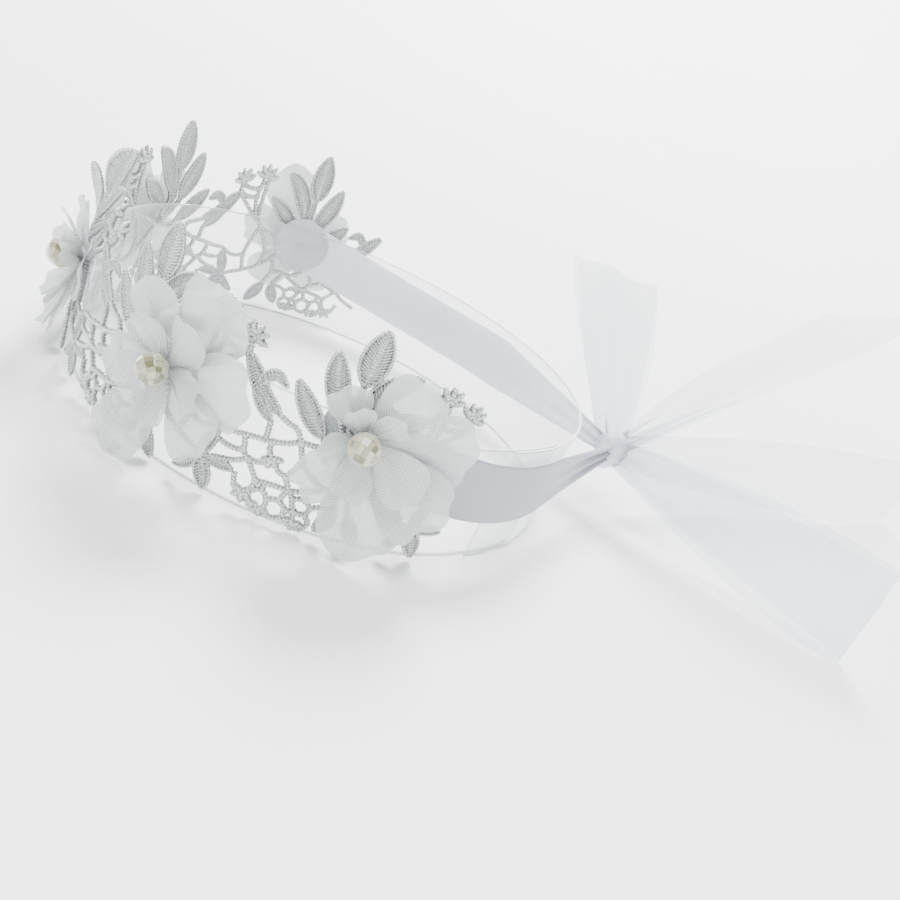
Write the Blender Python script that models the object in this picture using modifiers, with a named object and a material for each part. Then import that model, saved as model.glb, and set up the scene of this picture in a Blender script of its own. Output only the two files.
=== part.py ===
"""Flower crown: guipure lace with organza flowers and pearls, sewn to satin ribbons that end in an
organza bow, standing round a clear plastic display band.

Metres, +Z up. The origin is the centre of the head opening, level with the surface that the band
stands on. The front of the crown faces -Y and the bow is at the back, on the +Y side.
Angles go round the crown from +X towards +Y, so the front is at -90 degrees.
"""

import math

import bmesh
import bpy
from mathutils import Matrix, Vector
from mathutils.geometry import delaunay_2d_cdt

MM = 0.001

# Clear display band
BAND_OUTER_RADIUS = 84.0 * MM
BAND_WALL = 0.8 * MM
BAND_HEIGHT = 37.3 * MM
BAND_LAP_START = 30.0
BAND_LAP = 26.0 * MM
BAND_COLUMNS = 96

# Clearances between touching layers, and under everything that hangs from the crown
FIT_GAP = 0.3 * MM
FLOOR_GAP = 0.3 * MM

# Felt discs, satin ribbons and lace, from the band outwards
FELT_RADIUS = 11.0 * MM
FELT_WALL = 0.7 * MM
SATIN_WIDTH = 20.0 * MM
SATIN_WALL = 0.4 * MM
SATIN_DROOP = 4.0 * MM
SATIN_GATHERED = 0.7
SATIN_STEPS_ROUND = 16
SATIN_STEPS_OFF = 3
LACE_WALL = 1.2 * MM
LACE_PITCH = 62.0 * MM
LACE_REPEATS = 5
LACE_BODY_HEIGHT = 36.0 * MM
LEAF_LENGTH = 19.0 * MM
LEAF_WIDTH = 8.0 * MM
SCALLOPS_PER_HALF = 6
SCALLOP_DEPTH = 3.0 * MM
SHOULDER_DROP = 9.0 * MM
NET_HOLE_SHIFT = 25.0 * MM
NET_HOLE_RISE = 10.0 * MM
NET_HOLE_HALF_WIDTH = 3.2 * MM
NET_HOLE_HALF_HEIGHT = 3.6 * MM
LACE_STRIP = 5.0 * MM

# A spray's leaves from right to left: millimetres along and above the lace's body, lean in degrees,
# and length and width as shares of the full leaf's
SPRAY_LEAVES = (
    (24.5, -2.0, 5.0, 0.85, 0.75),
    (12.5, -1.0, 40.0, 0.55, 0.65),
    (6.5, 2.0, 26.0, 0.95, 0.80),
    (0.0, 8.0, 0.0, 1.10, 1.00),
    (-5.0, 1.0, -20.0, 0.95, 0.80),
    (-11.5, -2.0, -38.0, 0.70, 0.75),
)

# Flowers and pearls; each flower is sewn on a little to one side of its leaf spray
FLOWER_SHIFTS = (0.0, 6.0 * MM, 13.0 * MM, 11.5 * MM, 4.7 * MM)
FLOWER_HEIGHTS = (30.5 * MM, 30.5 * MM, 30.5 * MM, 28.0 * MM, 34.0 * MM)
FLOWER_TURNS = (10.0, 40.0, 0.0, 25.0, 52.0)
PETAL_COUNT = 5
OUTER_PETAL_LENGTH = 27.0 * MM
INNER_PETAL_LENGTH = 20.0 * MM
PETAL_WALL = 0.4 * MM
PETAL_NOTCH = 0.62
PETAL_BLUNTNESS = 0.55
OUTER_CUP = 6.5 * MM
INNER_CUP = 8.0 * MM
INNER_TURN = 180.0 / PETAL_COUNT
PEARL_RADIUS = 4.6 * MM
KNOT_STITCH_RADIUS = 1.8 * MM

# Bow
BOW_KNOT_RADIUS = 6.0 * MM
BOW_KNOT_OFFSET = 22.3 * MM
BOW_KNOT_SIDE = 8.0 * MM
BOW_KNOT_HEIGHT = 23.0 * MM
ORGANZA_WIDTH = 38.0 * MM
ORGANZA_WALL = 0.5 * MM
BOW_ROOM = 1.0 * MM
LEFT_LOOP_LENGTH = 86.0 * MM
RIGHT_LOOP_LENGTH = 106.0 * MM
UPPER_TAIL_LENGTH = 115.0 * MM
LOWER_TAIL_LENGTH = 235.0 * MM
LEFT_LOOP_BULGE = 8.0 * MM
RIGHT_LOOP_BULGE = 6.0 * MM
LOWER_TAIL_SWAY = 6.0 * MM
LOOP_ROUNDNESS = 0.85
GATHERS = 0.2
GATHERS_OPENING = 0.7

# Where each part of the bow points: its heading round the crown and its rise above level
LEFT_LOOP_WAY = (177.0, 34.0)
RIGHT_LOOP_WAY = (50.0, 0.0)
UPPER_TAIL_WAY = (84.0, 52.0)
LOWER_TAIL_WAY = (112.0, 0.0)

# Radii of the layers, each one clear of the layer inside it
FELT_MID_RADIUS = BAND_OUTER_RADIUS + FIT_GAP + FELT_WALL / 2
SATIN_MID_RADIUS = FELT_MID_RADIUS + FELT_WALL / 2 + FIT_GAP + SATIN_WALL / 2
LACE_INNER_RADIUS = SATIN_MID_RADIUS + SATIN_WALL / 2 + FIT_GAP
LACE_MID_RADIUS = LACE_INNER_RADIUS + LACE_WALL / 2
FLOWER_BASE_RADIUS = LACE_INNER_RADIUS + LACE_WALL + FIT_GAP + PETAL_WALL / 2
PETAL_LIFT = PETAL_WALL + FIT_GAP

FRONT = -89.0
PITCH_ANGLE = math.degrees(LACE_PITCH / LACE_MID_RADIUS)
BOW_CENTRE = Vector((BOW_KNOT_SIDE, BAND_OUTER_RADIUS + BOW_KNOT_OFFSET, BOW_KNOT_HEIGHT))


def around(radius, degrees, height):
    """A point at this distance from the crown's axis, this angle round it and this height."""
    angle = math.radians(degrees)
    return Vector((radius * math.cos(angle), radius * math.sin(angle), height))


def spray_angle(repeat):
    return FRONT + (repeat - (LACE_REPEATS - 1) / 2) * PITCH_ANGLE


def flower_angle(flower):
    return spray_angle(flower) + math.degrees(FLOWER_SHIFTS[flower] / LACE_MID_RADIUS)


def outward_frame(radius, degrees, height):
    """Local X runs along the lace, local Y up and local Z outwards."""
    angle = math.radians(degrees)
    along = Vector((-math.sin(angle), math.cos(angle), 0))
    out = Vector((math.cos(angle), math.sin(angle), 0))
    turn = Matrix((along, Vector((0, 0, 1)), out)).transposed().to_4x4()
    return Matrix.Translation(around(radius, degrees, height)) @ turn


def make_material(name, colour, roughness, metallic=0.0, alpha=1.0):
    material = bpy.data.materials.new(name)
    material.use_nodes = True
    shader = material.node_tree.nodes["Principled BSDF"]
    shader.inputs["Base Color"].default_value = (*colour, 1)
    shader.inputs["Roughness"].default_value = roughness
    shader.inputs["Metallic"].default_value = metallic
    shader.inputs["Alpha"].default_value = alpha
    return material


def add_part(name, mesh, material, parent=None):
    part = bpy.data.objects.new(name, mesh)
    if not mesh.materials:
        mesh.materials.append(material)
    parts.objects.link(part)
    if parent:
        part.parent = parent
    return part


def add_pivot(name, place):
    pivot = bpy.data.objects.new(name, None)
    pivot.empty_display_size = 10 * MM
    pivot.location = place
    parts.objects.link(pivot)
    return pivot


def sheet_mesh(name, columns, rows, place):
    """A grid of this many cells, each corner put where place(along, across) says, both from 0 to 1."""
    grid = bmesh.new()
    bmesh.ops.create_grid(grid, x_segments=columns, y_segments=rows, size=0.5)
    for corner in grid.verts:
        corner.co = place(corner.co.x + 0.5, corner.co.y + 0.5)
    bmesh.ops.remove_doubles(grid, verts=grid.verts, dist=0.01 * MM)
    mesh = bpy.data.meshes.new(name)
    grid.to_mesh(mesh)
    grid.free()
    mesh.shade_smooth()
    mesh.set_sharp_from_angle(angle=math.radians(40))
    return mesh


def thicken(part, wall):
    shell = part.modifiers.new("wall", "SOLIDIFY")
    shell.thickness = wall
    shell.offset = 0
    shell.use_even_offset = True
    return part


# Display band -------------------------------------------------------------------------------------


def add_clear_band():
    """One strip bent round, with its inner end lapped behind the start of the outer one."""
    mid_radius = BAND_OUTER_RADIUS - BAND_WALL / 2
    lap_step = BAND_WALL + FIT_GAP
    turn = 360 + math.degrees(BAND_LAP / mid_radius)
    lap_share = (turn - 360) / turn

    def place(along, across):
        beyond = (along - (1 - 2 * lap_share)) / lap_share
        inset = lap_step * min(max(beyond, 0), 1)
        return around(mid_radius - inset, BAND_LAP_START + along * turn, across * BAND_HEIGHT)

    mesh = sheet_mesh("clear_band", BAND_COLUMNS, 1, place)
    return thicken(add_part("clear_band", mesh, clear_plastic), BAND_WALL)


# Lace ---------------------------------------------------------------------------------------------


def leaf_outline(base, lean, length, width):
    """The right side, tip and left side of a pointed leaf that stands on the lace's body."""
    steps = 4
    points = []
    for step in range(-steps, steps + 1):
        share = 1 - abs(step) / steps
        half = width / 2 * max(math.sin(math.pi * share**0.75), 0.22) * (1 if share < 1 else 0)
        side = 1 if step < 0 else -1
        points.append(Vector((side * half, share * length)))
    turn = Matrix.Rotation(math.radians(-lean), 2)
    return [Vector(base) + turn @ point for point in points]


def lace_outline():
    """Round the repeat from its lower left corner, with scallops below and leaves above."""
    half = (LACE_PITCH - FIT_GAP) / 2
    points = []
    for step in range(2 * SCALLOPS_PER_HALF + 1):
        height = FLOOR_GAP if step % 2 else FLOOR_GAP + SCALLOP_DEPTH
        points.append(Vector((-half + step * half / SCALLOPS_PER_HALF, height)))
    points.append(Vector((half, LACE_BODY_HEIGHT - SHOULDER_DROP)))
    for shift, rise, lean, length_share, width_share in SPRAY_LEAVES:
        base = (shift * MM, LACE_BODY_HEIGHT + rise * MM)
        points.extend(leaf_outline(base, lean, length_share * LEAF_LENGTH, width_share * LEAF_WIDTH))
    points.append(Vector((-half, LACE_BODY_HEIGHT - SHOULDER_DROP)))
    return points


def lace_openings():
    """The outlines of the larger holes in the net between two flowers."""
    middle = LACE_BODY_HEIGHT / 2
    turns = [2 * math.pi * corner / 6 for corner in range(6)]
    openings = []
    for side in (-1, 1):
        for row in (-1, 0, 1):
            centre = Vector((side * NET_HOLE_SHIFT, middle + row * NET_HOLE_RISE))
            ring = []
            for turn in turns:
                across = NET_HOLE_HALF_WIDTH * math.cos(turn)
                ring.append(centre + Vector((across, NET_HOLE_HALF_HEIGHT * math.sin(turn))))
            openings.append(ring)
    return openings


def lace_mesh():
    """The flat repeat, cut across into narrow strips and then wrapped round the crown."""
    corners = []
    edges = []
    for ring in [lace_outline(), *lace_openings()]:
        first = len(corners)
        corners.extend(ring)
        edges.extend((first + step, first + (step + 1) % len(ring)) for step in range(len(ring)))
    inside_without_holes = 2
    filled = delaunay_2d_cdt(corners, edges, [], inside_without_holes, 0.001 * MM)
    work = bmesh.new()
    placed = [work.verts.new((corner.x, corner.y, 0)) for corner in filled[0]]
    for face in filled[2]:
        work.faces.new([placed[corner] for corner in face])
    strips = round(LACE_PITCH / LACE_STRIP)
    for line in range(1 - strips, strips, 2):
        cut = line * LACE_PITCH / (2 * strips + 0.5)
        geometry = work.verts[:] + work.edges[:] + work.faces[:]
        bmesh.ops.bisect_plane(
            work, geom=geometry, dist=0.001 * MM, plane_co=(cut, 0, 0), plane_no=(1, 0, 0)
        )
    for corner in work.verts:
        turn = math.degrees(corner.co.x / LACE_MID_RADIUS)
        corner.co = around(LACE_MID_RADIUS, turn, corner.co.y)
    mesh = bpy.data.meshes.new("lace_repeat")
    work.to_mesh(mesh)
    work.free()
    return mesh


def add_lace():
    repeat = lace_mesh()
    for index in range(LACE_REPEATS):
        part = thicken(add_part(f"lace_repeat_{index + 1}", repeat, lace_thread), LACE_WALL)
        part.rotation_euler.z = math.radians(spray_angle(index))


# Flowers ------------------------------------------------------------------------------------------


def petal_reach(turn):
    """How far the flower's edge reaches at this angle, as a share of a petal's length."""
    lobe = abs(math.cos(PETAL_COUNT * turn / 2)) ** PETAL_BLUNTNESS
    return PETAL_NOTCH + (1 - PETAL_NOTCH) * lobe


def flower_layer(name, length, lift, cup, turn_offset):
    """A layer of petals cut in one piece, lying against the lace and curling out at the edge."""

    def place(along, across):
        turn = 2 * math.pi * along
        reach = length * petal_reach(turn) * across
        point = Vector((math.cos(turn), math.sin(turn), 0)) * reach
        point.z = lift + cup * (reach / length) ** 2
        return Matrix.Rotation(math.radians(turn_offset), 3, "Z") @ point

    return sheet_mesh(name, 6 * PETAL_COUNT, 3, place)


def add_flower(flower, outer_mesh, inner_mesh, pearl_mesh):
    angle = flower_angle(flower)
    height = FLOWER_HEIGHTS[flower]
    seat = outward_frame(FLOWER_BASE_RADIUS, angle, height)
    turned = seat @ Matrix.Rotation(math.radians(FLOWER_TURNS[flower]), 4, "Z")
    number = flower + 1
    for name, mesh in (("outer_petals", outer_mesh), ("inner_petals", inner_mesh)):
        layer = thicken(add_part(f"{name}_{number}", mesh, organza), PETAL_WALL)
        layer.matrix_world = turned
    pearl = add_part(f"pearl_{number}", pearl_mesh, pearl_coat)
    pearl.matrix_world = seat @ Matrix.Translation(
        (0, 0, PETAL_LIFT + PETAL_WALL / 2 + FIT_GAP + PEARL_RADIUS)
    )


def add_round_pad(name, radius, wall, mid_radius, degrees, height, material):
    """A round piece that lies along the crown's curve."""

    def place(along, across):
        turn = 2 * math.pi * along
        shift = math.degrees(radius * across * math.cos(turn) / mid_radius)
        return around(mid_radius, degrees + shift, height + radius * across * math.sin(turn))

    return thicken(add_part(name, sheet_mesh(name, 16, 2, place), material), wall)


def add_flowers():
    outer_mesh = flower_layer("outer_petals", OUTER_PETAL_LENGTH, 0, OUTER_CUP, 0)
    inner_mesh = flower_layer("inner_petals", INNER_PETAL_LENGTH, PETAL_LIFT, INNER_CUP, INNER_TURN)
    pearl = bmesh.new()
    bmesh.ops.create_uvsphere(pearl, u_segments=12, v_segments=8, radius=PEARL_RADIUS)
    pearl_mesh = bpy.data.meshes.new("pearl")
    pearl.to_mesh(pearl_mesh)
    pearl.free()
    for flower in range(LACE_REPEATS):
        add_flower(flower, outer_mesh, inner_mesh, pearl_mesh)


def add_backings():
    """The end flowers are backed by felt over the ribbon's end, and the others show a stitched knot."""
    last = LACE_REPEATS - 1
    for flower in range(LACE_REPEATS):
        angle = flower_angle(flower)
        height = FLOWER_HEIGHTS[flower]
        if flower in (0, last):
            name = "felt_disc_left" if flower == 0 else "felt_disc_right"
            add_round_pad(name, FELT_RADIUS, FELT_WALL, FELT_MID_RADIUS, angle, height, felt)
        else:
            mid_radius = (BAND_OUTER_RADIUS + LACE_INNER_RADIUS) / 2
            wall = LACE_INNER_RADIUS - BAND_OUTER_RADIUS - 2 * FIT_GAP
            name = f"thread_knot_{flower + 1}"
            add_round_pad(name, KNOT_STITCH_RADIUS, wall, mid_radius, angle, height, dark_thread)


# Satin ribbons ------------------------------------------------------------------------------------


def satin_path(flower, side):
    """From behind an end flower, round the band, then straight off it to the bow's knot."""
    knot = BOW_CENTRE
    flat = Vector((knot.x, knot.y))
    leave = math.degrees(math.atan2(flat.y, flat.x)) - side * math.degrees(
        math.acos(SATIN_MID_RADIUS / flat.length)
    )
    start = flower_angle(flower) + (0 if side > 0 else 360)
    points = []
    for step in range(SATIN_STEPS_ROUND + 1):
        share = step / SATIN_STEPS_ROUND
        height = FLOWER_HEIGHTS[flower] * (1 - share) + BOW_KNOT_HEIGHT * share
        height -= SATIN_DROOP * math.sin(math.pi * share)
        points.append(around(SATIN_MID_RADIUS, start + (leave - start) * share, height))
    off = points[-1]
    run = knot - off
    stop = run.length - BOW_KNOT_RADIUS - BOW_ROOM
    for step in range(1, SATIN_STEPS_OFF + 1):
        points.append(off + run.normalized() * stop * step / SATIN_STEPS_OFF)
    return points


def add_satin_ribbon(name, flower, side):
    points = satin_path(flower, side)
    last = len(points) - 1

    def place(along, across):
        index = round(along * last)
        tuck = max(0, index - (last - SATIN_STEPS_OFF)) / SATIN_STEPS_OFF
        width = SATIN_WIDTH * (1 - SATIN_GATHERED * tuck)
        return points[index] + Vector((0, 0, (across - 0.5) * width))

    mesh = sheet_mesh(name, last, 1, place)
    return thicken(add_part(name, mesh, satin), SATIN_WALL)


# Bow ----------------------------------------------------------------------------------------------


def bow_axes(heading, rise):
    """Out from the knot at this heading and rise, and level across that."""
    out = around(math.cos(math.radians(rise)), heading, math.sin(math.radians(rise)))
    across = around(1, heading + 90, 0)
    return out, across


def gathered_width(along):
    """The ribbon opens out from its gathers at the knot to its full width."""
    opened = math.sin(math.pi / 2 * along) ** GATHERS_OPENING
    return ORGANZA_WIDTH * (GATHERS + (1 - GATHERS) * opened)


def sink(opened):
    """How far a ribbon that stands on its edge has dropped from the knot to the floor."""
    return opened * (FLOOR_GAP + ORGANZA_WIDTH / 2 - BOW_KNOT_HEIGHT)


def add_bow_knot(pivot):
    knot = bmesh.new()
    bmesh.ops.create_uvsphere(knot, u_segments=16, v_segments=10, radius=BOW_KNOT_RADIUS)
    mesh = bpy.data.meshes.new("bow_knot")
    knot.to_mesh(mesh)
    knot.free()
    mesh.shade_smooth()
    add_part("bow_knot", mesh, organza, pivot)


def add_loop(name, length, way, bulge, pivot):
    """A teardrop of ribbon: out from the knot, round and back, all of it outside the knot."""
    heading, rise = way
    out, level = bow_axes(heading, rise)
    upright = rise == 0
    wide = Vector((0, 0, 1)) if upright else level
    swell = out.cross(wide).normalized()
    start = BOW_KNOT_RADIUS + BOW_ROOM
    seam = ORGANZA_WALL + FIT_GAP

    def place(along, across):
        half_turn = math.pi * along
        reach = start + (length - start) * math.sin(half_turn) ** LOOP_ROUNDNESS
        side = bulge * math.sin(2 * half_turn) + seam * math.cos(half_turn)
        width = gathered_width(math.sin(half_turn))
        sideways = wide * (across - 0.5) * width
        if upright:
            sideways.z += sink(math.sin(half_turn))
        return out * reach + swell * side + sideways

    mesh = sheet_mesh(name, 24, 1, place)
    thicken(add_part(name, mesh, organza_ribbon, pivot), ORGANZA_WALL)


def add_tail(name, length, way, sway, pivot, columns):
    """A single layer of ribbon, standing on its lower edge where it is level."""
    heading, rise = way
    out, level = bow_axes(heading, rise)
    start = BOW_KNOT_RADIUS + BOW_ROOM

    def place(along, across):
        reach = start + (length - start) * along
        width = gathered_width(along)
        wide = Vector((0, 0, 1)) if rise == 0 else level
        point = out * reach + level * sway * math.sin(2 * math.pi * along) * along
        point += wide * (across - 0.5) * width
        if rise == 0:
            point.z += sink(along)
        return point

    mesh = sheet_mesh(name, columns, 1, place)
    thicken(add_part(name, mesh, organza_ribbon, pivot), ORGANZA_WALL)


def add_bow():
    pivot = add_pivot("bow_pivot", BOW_CENTRE)
    add_bow_knot(pivot)
    add_loop("bow_loop_left", LEFT_LOOP_LENGTH, LEFT_LOOP_WAY, LEFT_LOOP_BULGE, pivot)
    add_loop("bow_loop_right", RIGHT_LOOP_LENGTH, RIGHT_LOOP_WAY, RIGHT_LOOP_BULGE, pivot)
    add_tail("bow_tail_upper", UPPER_TAIL_LENGTH, UPPER_TAIL_WAY, 0, pivot, 10)
    add_tail("bow_tail_lower", LOWER_TAIL_LENGTH, LOWER_TAIL_WAY, LOWER_TAIL_SWAY, pivot, 18)


for old in list(bpy.data.objects):
    bpy.data.objects.remove(old)

parts = bpy.data.collections.new("flower_crown")
bpy.context.scene.collection.children.link(parts)

clear_plastic = make_material("clear_plastic", (0.93, 0.95, 0.96), 0.08, alpha=0.3)
lace_thread = make_material("lace_thread", (0.80, 0.81, 0.81), 0.35, metallic=0.35)
organza = make_material("organza", (0.84, 0.85, 0.86), 0.45, alpha=0.8)
organza_ribbon = make_material("organza_ribbon", (0.82, 0.85, 0.90), 0.4, alpha=0.6)
satin = make_material("satin", (0.62, 0.62, 0.70), 0.35)
felt = make_material("felt", (0.62, 0.66, 0.68), 0.9)
pearl_coat = make_material("pearl_coat", (0.82, 0.82, 0.66), 0.15)
dark_thread = make_material("dark_thread", (0.10, 0.11, 0.11), 0.7)

add_clear_band()
add_lace()
add_flowers()
add_backings()
add_satin_ribbon("satin_ribbon_left", 0, -1)
add_satin_ribbon("satin_ribbon_right", LACE_REPEATS - 1, 1)
add_bow()
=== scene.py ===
"""Flower crown on a clear display band: guipure lace, organza flowers with pearls, satin ribbons and an
organza bow. Lengths are in metres, but for the tables that say they are in millimetres. The crown's
front faces -Y and its bow +Y.
"""

import math
import random

import bmesh
import bpy
from mathutils import Matrix, Vector


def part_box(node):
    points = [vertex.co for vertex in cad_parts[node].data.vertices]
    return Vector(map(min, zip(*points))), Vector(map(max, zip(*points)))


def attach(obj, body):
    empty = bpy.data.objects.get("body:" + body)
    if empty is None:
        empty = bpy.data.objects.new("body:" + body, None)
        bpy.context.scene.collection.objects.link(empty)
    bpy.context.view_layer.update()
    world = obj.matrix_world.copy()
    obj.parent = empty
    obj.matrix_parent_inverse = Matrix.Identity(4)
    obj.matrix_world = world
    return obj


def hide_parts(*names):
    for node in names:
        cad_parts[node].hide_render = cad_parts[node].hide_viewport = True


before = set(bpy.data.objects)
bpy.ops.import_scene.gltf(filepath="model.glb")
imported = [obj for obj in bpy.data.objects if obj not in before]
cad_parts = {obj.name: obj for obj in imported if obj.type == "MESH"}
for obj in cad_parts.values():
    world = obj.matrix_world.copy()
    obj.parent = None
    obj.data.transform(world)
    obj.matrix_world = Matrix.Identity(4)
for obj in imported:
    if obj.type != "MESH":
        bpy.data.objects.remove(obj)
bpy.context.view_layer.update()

MM = 0.001
TAU = 2 * math.pi

# How much cloth map a strand of thread takes up round its girth
STRAND_ROUND = 2.0 * MM
TWIST_PITCH = 2.1 * MM

# Layers of the crown, as distances from its axis
BAND_RADIUS = 84.0 * MM
SATIN_RADIUS = 85.5 * MM
LACE_RADIUS = 86.6 * MM
PETAL_RADIUS = 87.9 * MM
BAND_HEIGHT = 37.3 * MM
BAND_LINE = 0.7 * MM
LACE_PITCH = 62.0 * MM
PITCH_ANGLE = math.degrees(LACE_PITCH / LACE_RADIUS)
FRONT = -89.0
REPEATS = 5


def around(radius, degrees, height):
    """A point at this distance from the crown's axis, this angle round it and this height."""
    angle = math.radians(degrees)
    return Vector((radius * math.cos(angle), radius * math.sin(angle), height))


def outward_frame(radius, degrees, height):
    """Local X runs along the lace, local Y up and local Z outwards."""
    angle = math.radians(degrees)
    along = Vector((-math.sin(angle), math.cos(angle), 0))
    out = Vector((math.cos(angle), math.sin(angle), 0))
    turn = Matrix((along, Vector((0, 0, 1)), out)).transposed().to_4x4()
    return Matrix.Translation(around(radius, degrees, height)) @ turn


def spray_angle(repeat):
    return FRONT + (repeat - (REPEATS - 1) / 2) * PITCH_ANGLE


# Node groups shared by the materials ---------------------------------------------------------------


class Wiring:
    """Adds nodes to a tree and joins them, so that a material reads from top to bottom."""

    def __init__(self, tree):
        self.tree = tree

    def add(self, kind, **settings):
        node = self.tree.nodes.new(kind)
        for name, value in settings.items():
            setattr(node, name, value)
        return node

    def join(self, source, target):
        self.tree.links.new(source, target)

    def feed(self, socket, value):
        if isinstance(value, bpy.types.NodeSocket):
            self.join(value, socket)
        else:
            socket.default_value = value

    def maths(self, operation, first, second=0.0):
        node = self.add("ShaderNodeMath", operation=operation)
        self.feed(node.inputs[0], first)
        self.feed(node.inputs[1], second)
        return node.outputs[0]

    def spread(self, value, low, high, to_low, to_high):
        node = self.add("ShaderNodeMapRange")
        for socket, number in zip(node.inputs[:5], (value, low, high, to_low, to_high)):
            self.feed(socket, number)
        return node.outputs[0]

    def blend(self, share, first, second):
        node = self.add("ShaderNodeMix", data_type="RGBA")
        self.feed(node.inputs[0], share)
        self.feed(node.inputs[6], first)
        self.feed(node.inputs[7], second)
        return node.outputs[2]


def new_group(name, inputs, outputs):
    """A node group with these number inputs and outputs, and the wiring to fill it with."""
    tree = bpy.data.node_groups.new(name, "ShaderNodeTree")
    for label, value in inputs:
        socket = tree.interface.new_socket(label, in_out="INPUT", socket_type="NodeSocketFloat")
        socket.default_value = value
    for label in outputs:
        tree.interface.new_socket(label, in_out="OUTPUT", socket_type="NodeSocketFloat")
    wiring = Wiring(tree)
    return tree, wiring, wiring.add("NodeGroupInput"), wiring.add("NodeGroupOutput")


def weave_group():
    """Crossing threads on the cloth's own grid: how high the threads stand and how far they close."""
    inputs = (("Pitch", 0.0006), ("Slack", 0.25), ("Openness", 0.5))
    tree, wiring, given, result = new_group("open_weave", inputs, ("Height", "Cover"))
    place = wiring.add("ShaderNodeUVMap", uv_map="cloth")
    drift = wiring.add("ShaderNodeTexNoise", noise_dimensions="3D")
    drift.inputs["Scale"].default_value = 120
    drift.inputs["Detail"].default_value = 2
    wiring.join(place.outputs[0], drift.inputs["Vector"])
    apart = wiring.add("ShaderNodeSeparateXYZ")
    wiring.join(place.outputs[0], apart.inputs[0])
    sway = wiring.maths("MULTIPLY", wiring.maths("SUBTRACT", drift.outputs[0], 0.5), given.outputs["Slack"])
    threads = []
    for axis in (0, 1):
        turns = wiring.maths("DIVIDE", apart.outputs[axis], given.outputs["Pitch"])
        turns = wiring.maths("MULTIPLY", wiring.maths("ADD", turns, sway), TAU)
        threads.append(wiring.spread(wiring.maths("COSINE", turns), -1, 1, 0, 1))
    height = wiring.maths("MAXIMUM", threads[0], threads[1])
    wiring.join(height, result.inputs["Height"])
    cover = wiring.maths("SUBTRACT", 1.0, given.outputs["Openness"])
    gap = wiring.maths("MULTIPLY", height, given.outputs["Openness"])
    wiring.join(wiring.maths("ADD", cover, gap), result.inputs["Cover"])
    return tree


def stitch_group():
    """Thread wound or laid side by side: its ridges, painted light and shade round its crown and the turns
    of its twist, and its glints.
    """
    inputs = (("Pitch", 0.0003), ("Uneven", 0.3), ("Twist", 0.0021))
    tree, wiring, given, result = new_group("laid_stitches", inputs, ("Height", "Painted_Crown_Light", "Glint_Specks"))
    place = wiring.add("ShaderNodeUVMap", uv_map="cloth")
    apart = wiring.add("ShaderNodeSeparateXYZ")
    wiring.join(place.outputs[0], apart.inputs[0])
    waver = wiring.add("ShaderNodeTexNoise", noise_dimensions="3D")
    waver.inputs["Scale"].default_value = 900
    wiring.join(place.outputs[0], waver.inputs["Vector"])
    turns = wiring.maths("DIVIDE", apart.outputs[0], given.outputs["Pitch"])
    turns = wiring.maths("ADD", turns, wiring.maths("MULTIPLY", waver.outputs[0], given.outputs["Uneven"]))
    wave = wiring.maths("COSINE", wiring.maths("MULTIPLY", turns, TAU))
    wiring.join(wiring.spread(wave, -1, 1, 0, 1), result.inputs["Height"])
    # Painted light on the strand's crown, with painted shade at its sides.
    round_it = wiring.maths("MULTIPLY", apart.outputs[1], 2 * TAU / STRAND_ROUND)
    crown = wiring.spread(wiring.maths("COSINE", round_it), 1, -1, 0, 1)
    # Painted light and shade following the lobes of the twist.
    wound = wiring.maths("DIVIDE", apart.outputs[0], given.outputs["Twist"])
    wound = wiring.maths("SUBTRACT", round_it, wiring.maths("MULTIPLY", wound, 2 * TAU))
    lobes = wiring.spread(wiring.maths("COSINE", wound), -1, 1, 0.25, 1)
    wiring.join(wiring.maths("MULTIPLY", crown, lobes), result.inputs["Painted_Crown_Light"])
    # Speckled glints, which the materials use for roughness and paint into colour as painted glints.
    glints = wiring.add("ShaderNodeTexNoise", noise_dimensions="3D")
    glints.inputs["Scale"].default_value = 1600
    glints.inputs["Detail"].default_value = 3
    wiring.join(place.outputs[0], glints.inputs["Vector"])
    wiring.join(wiring.spread(glints.outputs[0], 0.35, 0.65, 0, 1), result.inputs["Glint_Specks"])
    return tree


def cloudy_group():
    """Slow, soft changes over a surface, for shade, lustre and wear."""
    tree, wiring, given, result = new_group("cloudiness", (("Scale", 60.0),), ("Cloud",))
    place = wiring.add("ShaderNodeTexCoord")
    noise = wiring.add("ShaderNodeTexNoise", noise_dimensions="3D")
    noise.inputs["Detail"].default_value = 4
    wiring.join(place.outputs["Object"], noise.inputs["Vector"])
    wiring.join(given.outputs["Scale"], noise.inputs["Scale"])
    wiring.join(wiring.spread(noise.outputs[0], 0.3, 0.7, 0, 1), result.inputs["Cloud"])
    return tree


WEAVE = weave_group()
STITCHES = stitch_group()
CLOUDS = cloudy_group()


def start_material(name, roughness, **constants):
    """A material with its Principled shader's plain settings, and the wiring to finish it with."""
    material = bpy.data.materials.new(name)
    material.use_nodes = True
    wiring = Wiring(material.node_tree)
    shader = material.node_tree.nodes["Principled BSDF"]
    shader.inputs["Roughness"].default_value = roughness
    for label, value in constants.items():
        shader.inputs[label.replace("_", " ")].default_value = value
    return material, wiring, shader


def use_group(wiring, tree, **values):
    node = wiring.add("ShaderNodeGroup", node_tree=tree)
    for label, value in values.items():
        wiring.feed(node.inputs[label], value)
    return node


def bump(wiring, shader, height, distance, strength=1.0):
    node = wiring.add("ShaderNodeBump")
    node.inputs["Strength"].default_value = strength
    node.inputs["Distance"].default_value = distance
    wiring.join(height, node.inputs["Height"])
    wiring.join(node.outputs[0], shader.inputs["Normal"])


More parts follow.
